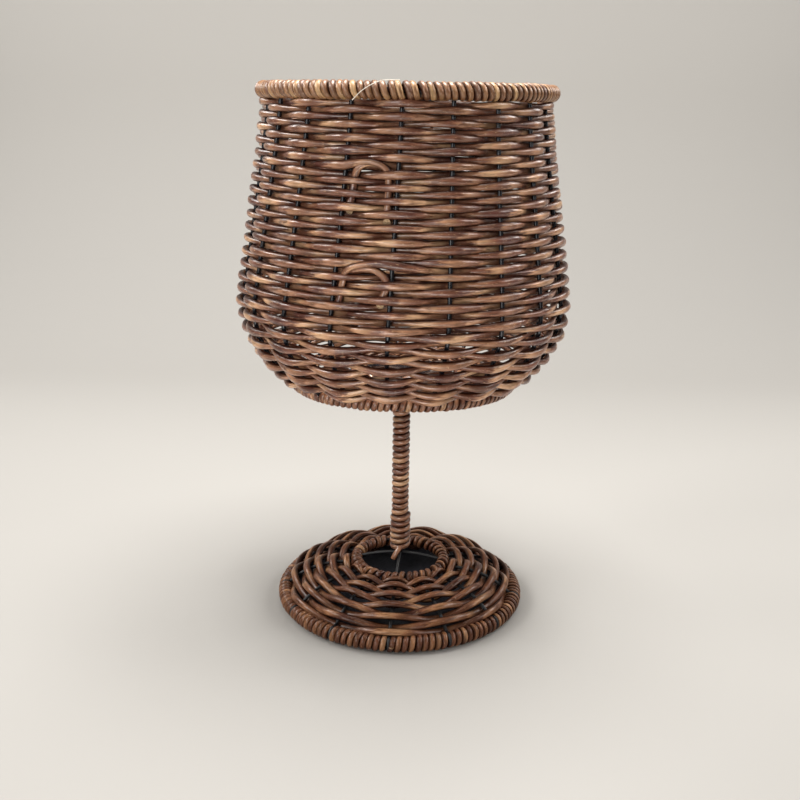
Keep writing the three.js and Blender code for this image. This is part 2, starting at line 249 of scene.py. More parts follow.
def rattanMaterial(name, stain):
    material, tree, shader = newMaterial(name)
    where = addNode(tree, "ShaderNodeUVMap", uv_map="strand")
    group = addNode(tree, "ShaderNodeGroup", node_tree=rattanStrand)
    tree.links.new(where.outputs[0], group.inputs["Strand"])
    for key in ("Honey", "Brown", "Plum", "Pale", "Painted Shade"):
        group.inputs[key].default_value = srgb(*stain[key])
    group.inputs["Honey Share"].default_value = stain["honeyShare"]
    group.inputs["Crevice Shade"].default_value = stain["creviceShade"]
    group.inputs["Wax"].default_value = stain["wax"]
    normal = bumped(tree, group.outputs["Relief"], stain["relief"], waxFinish["bumpDepth"])
    tree.links.new(group.outputs["Colour"], shader.inputs["Base Color"])
    tree.links.new(group.outputs["Gloss"], shader.inputs["Roughness"])
    tree.links.new(group.outputs["Coat"], shader.inputs["Coat Weight"])
    tree.links.new(normal, shader.inputs["Normal"])
    shader.inputs["Specular IOR Level"].default_value = stain["specular"]
    shader.inputs["Specular Tint"].default_value = srgb(*waxFinish["sheen"])
    shader.inputs["Coat Roughness"].default_value = stain["coatRough"]
    shader.inputs["Coat IOR"].default_value = waxFinish["ior"]
    return material


# In every stain below, the darkest colour and its strength are painted shade for the creases where strands
# touch
bowlStain = {
    "Honey": (178, 130, 96),
    "Brown": (116, 71, 52),
    "Plum": (80, 41, 35),
    "Pale": (216, 176, 134),
    "Painted Shade": (46, 12, 5),
    "honeyShare": 0.0,
    "creviceShade": 0.95,
    "wax": 0.85,
    "relief": 0.8,
    "specular": 0.2,
    "coatRough": 0.25,
}
rimStain = {
    "Honey": (155, 109, 69),
    "Brown": (129, 85, 54),
    "Plum": (98, 59, 41),
    "Pale": (214, 174, 122),
    "Painted Shade": (46, 14, 6),
    "honeyShare": 0.04,
    "creviceShade": 0.95,
    "wax": 0.68,
    "relief": 0.6,
    "specular": 0.45,
    "coatRough": 0.42,
}
windingStain = {
    "Honey": (166, 119, 88),
    "Brown": (124, 80, 59),
    "Plum": (94, 55, 44),
    "Pale": (216, 176, 134),
    "Painted Shade": (40, 11, 5),
    "honeyShare": 0.0,
    "creviceShade": 0.95,
    "wax": 0.8,
    "relief": 0.7,
    "specular": 0.2,
    "coatRough": 0.24,
}
# The winding stain made a little darker for the foot binding, as painted shade; its wax and sheen are also
# set lower
footShadedStain = {
    "Honey": (160, 113, 82),
    "Brown": (118, 74, 53),
    "Plum": (90, 51, 40),
    "Pale": (208, 167, 125),
    "Painted Shade": (38, 10, 4),
    "honeyShare": 0.0,
    "creviceShade": 0.95,
    "wax": 0.7,
    "relief": 0.7,
    "specular": 0.15,
    "coatRough": 0.28,
}
baseStain = {
    "Honey": (144, 99, 66),
    "Brown": (98, 59, 40),
    "Plum": (62, 32, 24),
    "Pale": (176, 136, 100),
    "Painted Shade": (32, 9, 4),
    "honeyShare": -0.03,
    "creviceShade": 0.9,
    "wax": 0.32,
    "relief": 0.6,
    "specular": 0.1,
    "coatRough": 0.28,
}
bowlRattan = rattanMaterial("bowlRattan", bowlStain)
rimRattan = rattanMaterial("rimRattan", rimStain)
windingRattan = rattanMaterial("windingRattan", windingStain)
footShadedRattan = rattanMaterial("footShadedRattan", footShadedStain)
baseRattan = rattanMaterial("baseRattan", baseStain)

# Pale pith, where a strand is cut or splintered
poreLook = {"scale": 2600.0, "mask": (0.4, 0.65), "rough": 0.8}
cutPith = {"light": (212, 180, 140), "dark": (136, 100, 70)}
fibrePith = {"light": (238, 230, 216), "dark": (214, 200, 180)}


def pithMaterial(name, pith):
    material, tree, shader = newMaterial(name)
    where = addNode(tree, "ShaderNodeTexCoord")
    pores = noise(tree, "3D", where.outputs["Object"], poreLook["scale"])
    mask = spread(tree, pores, *poreLook["mask"])
    tint = mixColour(tree, mask, srgb(*pith["light"]), srgb(*pith["dark"]))
    tree.links.new(tint, shader.inputs["Base Color"])
    shader.inputs["Roughness"].default_value = poreLook["rough"]
    return material


# Black paint on the wires and the plate
paintFlow = {"detail": 4.0, "range": (0.3, 0.7), "bumpDepth": 0.0002}
wirePaint = {
    "scale": 420.0,
    "dark": (15, 14, 18),
    "light": (32, 31, 37),
    "rough": (0.18, 0.32),
    "relief": 0.15,
}
platePaint = {
    "scale": 900.0,
    "dark": (18, 18, 26),
    "light": (30, 30, 40),
    "rough": (0.65, 0.85),
    "relief": 0.5,
}
# A darker, rougher copy of the wire paint for the base stakes and cross: the darker colour is painted
# shade, the rougher finish is the paint's own
shadedDullPaint = {
    "scale": 420.0,
    "dark": (10, 9, 10),
    "light": (22, 20, 21),
    "rough": (0.4, 0.6),
    "relief": 0.2,
}


def blackPaintMaterial(name, paint):
    material, tree, shader = newMaterial(name)
    where = addNode(tree, "ShaderNodeTexCoord")
    flow = noise(tree, "3D", where.outputs["Object"], paint["scale"], paintFlow["detail"])
    tint = mixColour(tree, flow, srgb(*paint["dark"]), srgb(*paint["light"]))
    tree.links.new(tint, shader.inputs["Base Color"])
    rough = spread(tree, flow, *paintFlow["range"], *paint["rough"])
    tree.links.new(rough, shader.inputs["Roughness"])
    normal = bumped(tree, flow, paint["relief"], paintFlow["bumpDepth"])
    tree.links.new(normal, shader.inputs["Normal"])
    return material


cutEnd = pithMaterial("cutEnd", cutPith)
paleFibre = pithMaterial("paleFibre", fibrePith)
blackWire = blackPaintMaterial("blackWire", wirePaint)
blackPlate = blackPaintMaterial("blackPlate", platePaint)
shadedDullWire = blackPaintMaterial("shadedDullWire", shadedDullPaint)
print("materials made")


# Shape helpers
def softNoise(seed, count, spacing):  # smooth random line between -1 and 1
    knots = np.random.default_rng(seed).uniform(-1, 1, int(count / spacing) + 4)
    x = np.arange(count) / spacing
    i = x.astype(int)
    f = x - i
    f = f * f * (3 - 2 * f)
    return knots[i] * (1 - f) + knots[i + 1] * f


def runAlong(points):  # distance of each point from the first
    return np.r_[0, np.cumsum(np.linalg.norm(np.diff(points, axis=0), axis=1))]


curveSamples = 300  # points on each cubic curve


def curveThrough(*pieces):  # cubic curves end to end, as distance, radius, height and direction
    t = np.linspace(0, 1, curveSamples)[:, None]
    points = []
    for piece in pieces:
        p0, p1, p2, p3 = (np.array(p, float) for p in piece)
        points.append((1 - t) ** 3 * p0 + 3 * (1 - t) ** 2 * t * p1 + 3 * (1 - t) * t * t * p2 + t**3 * p3)
    rz = np.vstack(points)
    keep = np.r_[True, np.linalg.norm(np.diff(rz, axis=0), axis=1) > 1e-9]  # no point twice
    rz = rz[keep]
    s = runAlong(rz)
    way = np.gradient(rz, s, axis=0)
    way /= np.linalg.norm(way, axis=1)[:, None]
    return {"s": s, "r": rz[:, 0], "z": rz[:, 1], "tr": way[:, 0], "tz": way[:, 1]}


def onCurve(curve, along, angle, offset):  # points moved out from the surface, and the way out
    r = np.interp(along, curve["s"], curve["r"])
    z = np.interp(along, curve["s"], curve["z"])
    outR = np.interp(along, curve["s"], curve["tz"])
    outZ = -np.interp(along, curve["s"], curve["tr"])
    sin, cos = np.sin(angle), np.cos(angle)
    points = np.c_[(r + offset * outR) * sin, -(r + offset * outR) * cos, z + offset * outZ]
    return points, np.c_[outR * sin, -outR * cos, outZ]


def eased(points, count):  # a smooth line through a few given points
    points = np.array(points, float)
    knots = np.linspace(0, 1, len(points))
    t = np.linspace(0, 1, count)
    slope = np.gradient(points, knots, axis=0)
    i = np.clip(np.searchsorted(knots, t) - 1, 0, len(points) - 2)
    h = knots[1]
    f = ((t - knots[i]) / h)[:, None]
    a, b, ma, mb = points[i], points[i + 1], slope[i] * h, slope[i + 1] * h
    ends = (1 + 2 * f) * (1 - f) ** 2 * a + f**2 * (3 - 2 * f) * b
    return ends + f * (1 - f) ** 2 * ma + f**2 * (f - 1) * mb


slantRun = 9  # a slanting cut has faded this far from the end
seamGap = 0.02  # keeps the pattern of a strand clear of the next number


def strandMesh(path, outward, halfOut, halfSide, sides, number, slant=(0, 0)):
    path = np.asarray(path, float)
    n = len(path)
    t = np.gradient(path, axis=0)
    t /= np.linalg.norm(t, axis=1)[:, None]
    u = outward - t * np.sum(outward * t, axis=1)[:, None]
    u /= np.linalg.norm(u, axis=1)[:, None]
    v = np.cross(t, u)
    a = turn * (np.arange(sides) + 0.5) / sides + math.pi  # the seam lies on the inner side
    halfOut = np.broadcast_to(halfOut, n)[:, None, None]
    halfSide = np.broadcast_to(halfSide, n)[:, None, None]
    section = u[:, None] * np.cos(a)[None, :, None] * halfOut
    section = section + v[:, None] * np.sin(a)[None, :, None] * halfSide
    run = runAlong(path)
    if any(slant):  # an end cut aslant, so that its pith shows from outside
        atStart = np.clip(1 - run / slantRun, 0, 1)
        atEnd = np.clip(1 - (run[-1] - run) / slantRun, 0, 1)
        back = slant[0] * atStart - slant[1] * atEnd
        section = section + t[:, None] * (back[:, None] * (1 + np.cos(a))[None, :])[:, :, None]
    verts = (path[:, None] + section).reshape(-1, 3) * mm
    i = np.repeat(np.arange(n - 1), sides)
    k = np.tile(np.arange(sides), n - 1)
    j = i + 1
    k2 = (k + 1) % sides
    quads = np.c_[i * sides + k, i * sides + k2, j * sides + k2, j * sides + k]
    length = run / 10  # centimetres, for the stain
    v0 = number + seamGap + (1 - 2 * seamGap) * k / sides
    v1 = number + seamGap + (1 - 2 * seamGap) * (k + 1) / sides
    corners = [np.c_[length[i], v0], np.c_[length[i], v1], np.c_[length[j], v1], np.c_[length[j], v0]]
    caps = [list(range(sides))[::-1], list(range((n - 1) * sides, n * sides))]
    return {"verts": verts, "quads": quads, "uv": np.stack(corners, 1).reshape(-1, 2), "caps": caps}


def makePiece(name, strands, materials, replaced):
    verts, faces, uv, capFaces = [], [], [], []
    base = 0
    for strand in strands:
        verts.append(strand["verts"])
        faces.extend((strand["quads"] + base).tolist())
        uv.append(strand["uv"])
        capFaces.extend([[base + c for c in cap] for cap in strand["caps"]])
        base += len(strand["verts"])
    uv.append(np.full((sum(len(cap) for cap in capFaces), 2), 0.5))  # ends have no stain to place
    mesh = bpy.data.meshes.new(name)
    mesh.from_pydata(np.vstack(verts).tolist(), [], faces + capFaces)
    layer = mesh.uv_layers.new(name="strand")
    layer.data.foreach_set("uv", np.vstack(uv).astype(np.float32).ravel())
    smooth = np.r_[np.ones(len(faces), bool), np.zeros(len(capFaces), bool)]
    mesh.polygons.foreach_set("use_smooth", smooth)
    for material in materials:
        mesh.materials.append(material)
    if len(materials) > 1:  # the second one is for the cut ends
        index = np.r_[np.zeros(len(faces), np.int32), np.ones(len(capFaces), np.int32)]
        mesh.polygons.foreach_set("material_index", index)
    mesh.update()
    piece = bpy.data.objects.new(name, mesh)
    bpy.context.scene.collection.objects.link(piece)
    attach(piece, "root")
    if replaced:
        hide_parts(*replaced)


def numbered(prefix, count):
    return [prefix + "_" + str(i + 1).zfill(2) for i in range(count)]


# How a strand is woven, in the bowl, the bowl's floor and the base
weaving = {
    "levelRows": 20,  # rows next to a binding lie level and turn into a spiral over this many
    "climbAfter": 0.8,  # share of a turn after which a level row climbs
    "climbFor": 0.2,
    "stopShort": 0.2,  # of a turn, at the last row
    "slowStir": (0.6, 23),  # share of the wander, and samples from one bend to the next
    "quickStir": (0.4, 9),
    "swingStir": (0.1, 19),
}


def climbed(steps, stakes, rows, start, end, ease):  # place of a strand that climbs row by row
    turns = steps / stakes
    row = np.floor(turns)
    share = turns - row
    level = np.maximum(0, 1 - np.minimum(row, rows - 1 - row) / weaving["levelRows"])
    late = np.clip((share - weaving["climbAfter"]) / weaving["climbFor"], 0, 1)
    climb = late * late * (3 - 2 * late)
    way = (row + share * (1 - level) + climb * level) / (rows - 1)
    return start + (end - start) * (way + ease * way * (1 - way))


def lastStep(rows, stakes):
    return 2 * math.floor((rows - weaving["stopShort"]) * stakes / 2)


def stirred(seed, count, wander):  # hand-made unevenness of a row's height
    slow, slowSpacing = weaving["slowStir"]
    quick, quickSpacing = weaving["quickStir"]
    stir = slow * softNoise(seed, count, slowSpacing)
    stir = stir + quick * softNoise(seed + 1, count, quickSpacing)
    return wander * stir


def overUnder(seed, steps, swing):  # outside one stake, inside the next
    uneven, spacing = weaving["swingStir"]
    wave = -np.cos(math.pi * steps)
    return swing * wave * (1 + uneven * softNoise(seed, len(steps), spacing))


# Bowl frame and weave
bowl = {
    "stakes": 19,
    "firstStake": -1.6,  # degrees from the front at the rim
    "twist": 4.85,  # degrees that the stakes lean round from foot to rim
    "stakeRadius": 1.3,
    "stakeFrom": 1.6,  # up the bowl from the foot ring
    "stakeSamples": 60,
    "foot": (69.7, 157.8),  # radius and height
    "belly": (100.9, 209.0),
    "lip": (83.2, 334.9),
    "lowerPull": ((85.7, 170.3), (100.9, 189.0)),  # what the curve bends towards between them
    "upperPull": ((100.9, 220.0), (84.7, 305.9)),
    "rows": 46,
    "rowEase": 0.04,  # rows lie this share wider apart at the foot and closer at the rim
    "weaveFrom": 10.3,  # up the bowl from the foot ring
    "weaveToHeight": 328.25,
    "backSteps": 9,  # a row starts this many stakes round from the front
    "weaverOut": 1.95,  # half thickness, away from the stake
    "weaverTall": 1.84,  # half height where rows press on each other
    "swell": 0.62,  # extra half height where a row stands clear over a stake
    "clearance": 0.15,  # between strand and stake
    "lowerStout": 0.03,  # extra height of the rows near the foot
    "stoutReach": 70,
    "tight": 0.25,  # the lowest rows are pulled in by this share
    "tightReach": 30,
    "wander": 0.65,
    "girthStir": (0.12, 23),
    "sag": 1.9,  # the foot hangs this much lower at its left and right than in front
    "sagReach": 60,
    "sagPower": 1.1,
    "samples": 10,
    "endGap": 0.02,  # of a step, at a strand's end
    "seedStep": 10,  # random seeds set aside for each strand
    "strandNumber": 40,
}
bowlCurve = curveThrough(
    (bowl["foot"], *bowl["lowerPull"], bowl["belly"]),
    (bowl["belly"], *bowl["upperPull"], bowl["lip"]),
)
bowlLength = float(bowlCurve["s"][-1])
bowlStep = turn / bowl["stakes"]
bowlFirst = math.radians(bowl["firstStake"])
bowlSwing = bowl["stakeRadius"] + bowl["weaverOut"] + bowl["clearance"]
weaveTo = float(np.interp(bowl["weaveToHeight"], bowlCurve["z"], bowlCurve["s"]))

# Strands end behind a stake or in an open splice, whose two ends are turned down in front
plainSplices = (7.5, 14.5, 29)  # rows
spliceLook = {
    "step": 9,  # steps from a row's start to the stake on the left of an open splice
    "giveStakes": 1.1,  # the next rows give way over this many stakes and rows
    "giveRows": 1.6,
    "tailSamples": 46,
    "tailGirth": (0.88, 0.96),  # a tail is a little thinner at its tip
    "taperSamples": 30,
    "cutSlant": 1.9,  # the cut runs back twice this far on its outer side
}
lowerSplice = {
    "row": 21,
    "middle": 10.3,  # steps from the row's start
    "above": 1.3,  # how far the rows above and below give way
    "below": 1.0,
    "skip": 1.0,  # steps that the turned-down start takes up
    "ending": (  # share of the way to the next stake, rise and offset of each point
        (0, 0, -3.25), (0.3, 0.3, 1.2), (0.55, 1.2, 3.0), (0.74, 0.6, 3.0),
        (0.9, -3.4, 2.4), (0.92, -9, 1.0), (0.88, -14, 0.7), (0.83, -19.5, 1.9),
    ),
    "starting": (
        (0.12, -22, 1.7), (0.14, -14, 0.7), (0.17, -6, 1.2), (0.23, -0.5, 3.0), (0.43, 2.8, 4.4),
        (0.72, 4.2, 4.6), (1, 3.5, 4.2), (1.5, 1.5, 0.6), (2, 0, -3.25),
    ),
}
upperSplice = {
    "row": 36,
    "middle": 9.5,
    "above": 1.0,
    "below": -1.0,
    "skip": 0.0,
    "ending": (
        (0, 0.9, 3.6), (0.28, 2.2, 3.8), (0.55, 2.0, 3.6), (0.78, -1.2, 2.4),
        (0.845, -8, 0.9), (0.85, -19, 0.7), (0.86, -31.5, 1.9),
    ),
    "starting": (
        (0.16, -25.5, 1.9), (0.18, -16, 0.7), (0.2, -7, 0.9), (0.28, -1.0, 2.2),
        (0.48, 1.4, 1.6), (0.74, 0.6, -1.2), (1, 0, -3.4),
    ),
}
openSplices = (lowerSplice, upperSplice)


def sagged(points, share):  # handwork that is not quite level all the way round
    aside = np.abs(points[:, 0]) / np.hypot(points[:, 0], points[:, 1])
    points[:, 2] -= bowl["sag"] * share * aside ** bowl["sagPower"]
    return points


def onBowl(along, angle, offset):
    leaning = angle + math.radians(bowl["twist"]) * (along / bowlLength - 1)
    points, outward = onCurve(bowlCurve, along, leaning, offset)
    return sagged(points, np.clip(1 - along / bowl["sagReach"], 0, 1)), outward


def makeBowlStakes():
    count = bowl["stakeSamples"]
    along = np.linspace(bowl["stakeFrom"], bowlLength, count)
    for i, name in enumerate(numbered("bowl_stake", bowl["stakes"])):
        path, outward = onBowl(along, np.full(count, bowlFirst + i * bowlStep), 0.0)
        strand = strandMesh(path, outward, bowl["stakeRadius"], bowl["stakeRadius"], strandSides, i)
        makePiece("wire_" + name, [strand], [blackWire], [name])


def bowlClimb(steps):
    return climbed(steps, bowl["stakes"], bowl["rows"], bowl["weaveFrom"], weaveTo, bowl["rowEase"])


def pushedApart(steps, along):  # rows give way round the two open splices
    half = bowl["stakes"] / 2
    for splice in openSplices:
        middle = bowl["stakes"] * splice["row"] + splice["middle"]
        beside = np.abs((steps - middle + half) % bowl["stakes"] - half)
        away = np.round((steps - middle) / bowl["stakes"])
        near = np.exp(-((beside / spliceLook["giveStakes"]) ** 2))
        near = near * np.exp(-(np.abs(away) - 1) / spliceLook["giveRows"])
        along = along + near * np.where(away > 0, splice["above"], np.where(away < 0, splice["below"], 0.0))
    return along


def bowlRow(steps, seed):  # place up the bowl, angle and offset of a strand at these steps
    along = pushedApart(steps, bowlClimb(steps)) + stirred(seed, len(steps), bowl["wander"])
    angle = bowlFirst + (steps + bowl["backSteps"]) * bowlStep
    flatter = 1 - bowl["tight"] * np.clip(1 - along / bowl["tightReach"], 0, 1)
    return np.c_[along, angle, overUnder(seed + 2, steps, bowlSwing) * flatter]


def turnedDown(splice, side):  # the tail of a strand: an arch, then down beside a stake
    stake = bowl["stakes"] * splice["row"] + spliceLook["step"]
    level = float(bowlClimb(np.array([stake + 0.5]))[0])  # half-way to the next stake
    left = bowlFirst + (stake + bowl["backSteps"]) * bowlStep
    line = [(level + rise, left + share * bowlStep, out) for share, rise, out in splice[side]]
    return eased(line, spliceLook["tailSamples"])


def joined(tail, rowEnd):  # the tail leaves its row without a step
    fade = np.linspace(1, 0, len(tail)) ** 3
    return tail + (rowEnd - tail[0]) * fade[:, None]


def bowlEdges():  # steps where one strand ends and the next begins, with the open splice there
    stakes = bowl["stakes"]
    edges = [(0, None)]
    edges += [(2 * round(row * stakes / 2), None) for row in plainSplices]
    edges += [(stakes * splice["row"] + spliceLook["step"] + 1, splice) for splice in openSplices]
    edges.sort(key=lambda edge: edge[0])
    return edges + [(lastStep(bowl["rows"], stakes), None)]


def bowlStrandLine(seed, begin, openStart, end, openEnd):
    first = begin + (openStart["skip"] if openStart else 0.0)
    last = end - (1.0 if openEnd else bowl["endGap"])
    count = int((last - first) * bowl["samples"]) + 1
    row = bowlRow(np.linspace(first + bowl["endGap"], last, count), seed)
    parts = [row]
    if openStart:
        parts.insert(0, joined(turnedDown(openStart, "starting")[::-1], row[0])[:0:-1])
    if openEnd:
        parts.append(joined(turnedDown(openEnd, "ending"), row[-1])[1:])
    return np.vstack(parts)


def makeBowlWeave():
    edges = bowlEdges()
    taper = np.linspace(*spliceLook["tailGirth"], spliceLook["taperSamples"])
    uneven, spacing = bowl["girthStir"]
    for i, name in enumerate(numbered("bowl_weaver", len(edges) - 1)):
        (begin, openStart), (end, openEnd) = edges[i], edges[i + 1]
        seed = bowl["seedStep"] * i
        line = bowlStrandLine(seed, begin, openStart, end, openEnd)
        path, outward = onBowl(line[:, 0], line[:, 1], line[:, 2])
        outward[:, 2] = 0  # the side that shows lies level, low on the bowl too, so the painted shade where rows touch stays above and below each strand
        clear = np.cos(math.pi * (line[:, 1] - bowlFirst) / bowlStep) ** 2  # 1 at each stake
        girth = 1 + uneven * softNoise(seed + 5, len(line), spacing)
        tall = (bowl["weaverTall"] + bowl["swell"] * clear) * girth
        tall = tall * (1 + bowl["lowerStout"] * np.clip(1 - line[:, 0] / bowl["stoutReach"], 0, 1))
        out = bowl["weaverOut"] * girth
        tails = np.ones(len(line))
        if openStart:
            tails[: len(taper)] = taper
        if openEnd:
            tails[-len(taper) :] = taper[::-1]
        slant = [spliceLook["cutSlant"] if splice else 0 for splice in (openStart, openEnd)]
        number = bowl["strandNumber"] + i
        strand = strandMesh(path, outward, out * tails, tall * tails, strandSides, number, slant)
        makePiece("rattan_" + name, [strand], [bowlRattan, cutEnd], [name])


makeBowlStakes()
makeBowlWeave()
print("bowl woven")

# Strands wound round the wire rings
ringWinding = {
    "crossing": 0.5,  # of a turn, to pass a stake between two groups of turns
    "stopShort": 0.15,  # of a turn, where the two ends meet
    "uneven": 0.05,  # share by which one turn is thicker than another
    "strayTurns": 1.3,  # turns from one bend to the next, outwards and along the ring
    "slipTurns": 1.1,
}
rimBinding = {
    "wraps": 136,
    "hand": -1,
    "lean": 0.45,
    "sectors": 0,
    "radius": 86.5,
    "height": 334.9,
    "lay": 3.4,  # wire centre to strand centre
    "halfOut": 1.7,
    "halfSide": 1.98,
    "stray": 0.22,
    "slip": 0.62,
    "startPhase": 200,
    "startAngle": 160,
    "samples": 16,
    "seed": 101,
    "strandNumber": 60,
}
footBinding = {
    "wraps": 111,
    "hand": 1,
    "lean": 0.2,
    "sectors": 0,
    "radius": 69.7,
    "height": 158.5,
    "lay": 2.85,
    "halfOut": 1.62,
    "halfSide": 2.0,
    "stray": 0.15,
    "slip": 0.3,
    "startPhase": 90,
    "startAngle": 150,
    "samples": 16,
    "seed": 102,
    "strandNumber": 61,
}
innerBinding = {
    "wraps": 38,
    "hand": 1,
    "lean": 0.0,
    "sectors": 0,
    "radius": 30.0,
    "height": 26.3,
    "lay": 2.3,
    "halfOut": 1.65,
    "halfSide": 2.05,
    "stray": 0.55,
    "slip": 1.5,
    "startPhase": 270,
    "startAngle": 140,
    "samples": 18,
    "seed": 103,
    "strandNumber": 62,
}
standingBinding = {
    "wraps": 117,
    "hand": 1,
    "lean": 0.0,
    "sectors": 13,  # groups of turns, with a space at each stake
    "space": 3.4,
    "radius": 78.6,
    "height": 5.35,
    "lay": 3.65,
    "halfOut": 1.65,
    "halfSide": 1.98,
    "stray": 0.12,
    "slip": 0.22,
    "startPhase": 0,
    "startAngle": -4.5,
    "samples": 16,
    "seed": 104,
    "strandNumber": 63,
}


def groupedAngle(ring, laps):  # even turns in each group, then a quick pass to the next group
    group = ring["wraps"] / ring["sectors"]
    sector = np.minimum(np.floor(laps / group), ring["sectors"] - 1)
    f = laps - sector * group
    crossing = ringWinding["crossing"]
    jump = np.clip((f - group + crossing) / crossing, 0, 1)
    space = ring["space"] / ring["radius"]
    width = turn / ring["sectors"]
    way = space / 2 + (width - space) * np.minimum(f / (group - crossing), 1) + space * jump
    return sector * width + way


def woundRing(ring):
    wraps, radius, seed = ring["wraps"], ring["radius"], ring["seed"]
    count = wraps * ring["samples"] + 1
    laps = np.linspace(0, wraps, count)
    phase = turn * laps + math.radians(ring["startPhase"])
    if ring["sectors"]:
        angle = groupedAngle(ring, laps)
    else:
        angle = turn * laps / wraps * (1 - ringWinding["stopShort"] / wraps)
    angle = math.radians(ring["startAngle"]) + ring["hand"] * angle
    loose = np.random.default_rng(seed).normal(0, 1, wraps + 1)
    thick = ring["halfOut"] * (1 + ringWinding["uneven"] * loose[np.floor(laps).astype(int)])
    stray = softNoise(seed + 1, count, ring["samples"] * ringWinding["strayTurns"])
    slip = softNoise(seed + 2, count, ring["samples"] * ringWinding["slipTurns"])
    lift = ring["lay"] + ring["stray"] * stray
    angle = angle + ring["slip"] / radius * slip
    angle = angle + ring["hand"] * ring["lean"] / radius * np.sin(phase)
    r = radius + lift * np.cos(phase)
    z = ring["height"] + lift * np.sin(phase)
    path = np.c_[r * np.sin(angle), -r * np.cos(angle), z]
    outward = np.c_[np.cos(phase) * np.sin(angle), -np.cos(phase) * np.cos(angle), np.sin(phase)]
    side = ring["halfSide"] * r / radius  # turns spread out on the outer side
    return strandMesh(path, outward, thick, side, windingSides, ring["strandNumber"])


def makeBindings():
    rim = woundRing(rimBinding)
    foot = woundRing(footBinding)
    foot["verts"] = sagged(foot["verts"] / mm, 1.0) * mm
    inner = woundRing(innerBinding)
    standing = woundRing(standingBinding)
    onFoot = [footShadedRattan, cutEnd]
    onBase = [baseRattan, cutEnd]
    makePiece("rattan_rim_binding", [rim], [rimRattan, cutEnd], ["bowl_rim_binding"])
    makePiece("rattan_foot_binding", [foot], onFoot, ["bowl_foot_binding"])
    makePiece("rattan_inner_binding", [inner], onBase, ["base_inner_binding"])
    makePiece("rattan_base_binding", [standing], onBase, ["base_binding"])


strayFibre = {  # one loose splinter that stands off the rim
    "points": (
        (-28.5, -91.5, 329.7), (-23.8, -93.2, 334.2), (-18.1, -93.6, 337.7),
        (-12, -92.3, 339.7), (-4, -89, 340),
    ),
    "half": 0.22,
    "outward": (0.0, -1.0, 0.3),
    "sides": 6,
    "samples": 40,
    "strandNumber": 64,
}


def makeStrayFibre():
    line = eased(strayFibre["points"], strayFibre["samples"])
    outward = np.tile([strayFibre["outward"]], (len(line), 1))
    half = strayFibre["half"]
    fibre = strandMesh(line, outward, half, half, strayFibre["sides"], strayFibre["strandNumber"])
    makePiece("rattan_stray_fibre", [fibre], [paleFibre], [])


makeBindings()
makeStrayFibre()
print("rings bound")

# Bowl floor, a flat spiral on wire spokes
floorWeave = {
    "spokes": 11,
    "spokeRadius": 1.25,
    "firstSpoke": 0.25,  # steps round from the front
    "backSteps": 5,  # the strand starts this many spokes further round
    "rows": 10,
    "radii": (23.55, 36.7, 49.85, 63.0),  # first row to last, in even thirds
    "height": 160.6,
    "halfOut": 1.7,
    "halfSide": 1.75,
    "wander": 0.15,
    "samples": 12,
    "endGap": 0.03,  # of a step, at the strand's ends
    "seed": 301,
    "strandNumber": 70,
}


def makeFloor():
    seed, halfOut, radii = floorWeave["seed"], floorWeave["halfOut"], floorWeave["radii"]
    flat = curveThrough([(r, floorWeave["height"]) for r in radii])
    last = floorWeave["rows"] * floorWeave["spokes"]
    count = last * floorWeave["samples"] + 1
    steps = np.linspace(floorWeave["endGap"], last - floorWeave["endGap"], count)
    rise = (radii[-1] - radii[0]) / floorWeave["rows"] / floorWeave["spokes"]
    angle = turn / floorWeave["spokes"] * (floorWeave["firstSpoke"] + floorWeave["backSteps"] + steps)
    along = rise * steps + stirred(seed, count, floorWeave["wander"])
    offset = -overUnder(seed + 2, steps, floorWeave["spokeRadius"] + halfOut)
    path, outward = onCurve(flat, along, angle, offset)
    number = floorWeave["strandNumber"]
    strand = strandMesh(path, outward, halfOut, floorWeave["halfSide"], windingSides, number)
    makePiece("rattan_floor_weaver", [strand], [bowlRattan, cutEnd], ["bowl_floor_weaver"])


makeFloor()
print("bowl floor woven")

# Stem windings
stemStrand = {
    "halfOut": 1.72,
    "halfTall": 2.06,
    "slip": (0.22, 34),  # unevenness up the stem, and samples from one bend to the next
    "stray": (0.15, 25),
    "samples": 28,  # in a turn
}
upperWinding = {
    "from": 57.4,
    "to": 151.2,
    "turns": 22.7,
    "core": 2.5,  # radius that the strand is wound on
    "centre": (-0.5, 0),
    "startAngle": 274,
    "seed": 401,
    "strandNumber": 80,
}
lowerWinding = {  # holds a tail as well, so it is thicker and stands off the axis
    "from": 35.6,
    "to": 59.6,
    "turns": 5.78,
    "core": 3.5,
    "centre": (-0.2, -0.6),
    "startAngle": 180,
    "seed": 402,
    "strandNumber": 81,
}
stemTail = {
    "points": (
        (0.6, -5.6, 38.0), (-0.8, -6.8, 36.4), (-2.4, -7.8, 34.2),
        (-3.8, -8.3, 31.8), (-4.6, -8.3, 29.8),
    ),
    "halfOut": (1.9, 1.8),  # at the winding and at the tip
    "halfTall": (2.0, 1.9),
    "outward": (0.0, -1.0, 0.15),
    "samples": 24,
    "strandNumber": 82,
}


def woundStem(winding):
    seed, centre = winding["seed"], winding["centre"]
    slip, slipSpacing = stemStrand["slip"]
    stray, straySpacing = stemStrand["stray"]
    count = int(winding["turns"] * stemStrand["samples"]) + 1
    angle = math.radians(winding["startAngle"]) + np.linspace(0, turn * winding["turns"], count)
    z = np.linspace(winding["from"], winding["to"], count) + slip * softNoise(seed, count, slipSpacing)
    r = winding["core"] + stemStrand["halfOut"] + stray * softNoise(seed + 1, count, straySpacing)
    path = np.c_[centre[0] + r * np.sin(angle), centre[1] - r * np.cos(angle), z]
    outward = np.c_[np.sin(angle), -np.cos(angle), np.zeros(count)]
    number = winding["strandNumber"]
    return strandMesh(path, outward, stemStrand["halfOut"], stemStrand["halfTall"], strandSides, number)


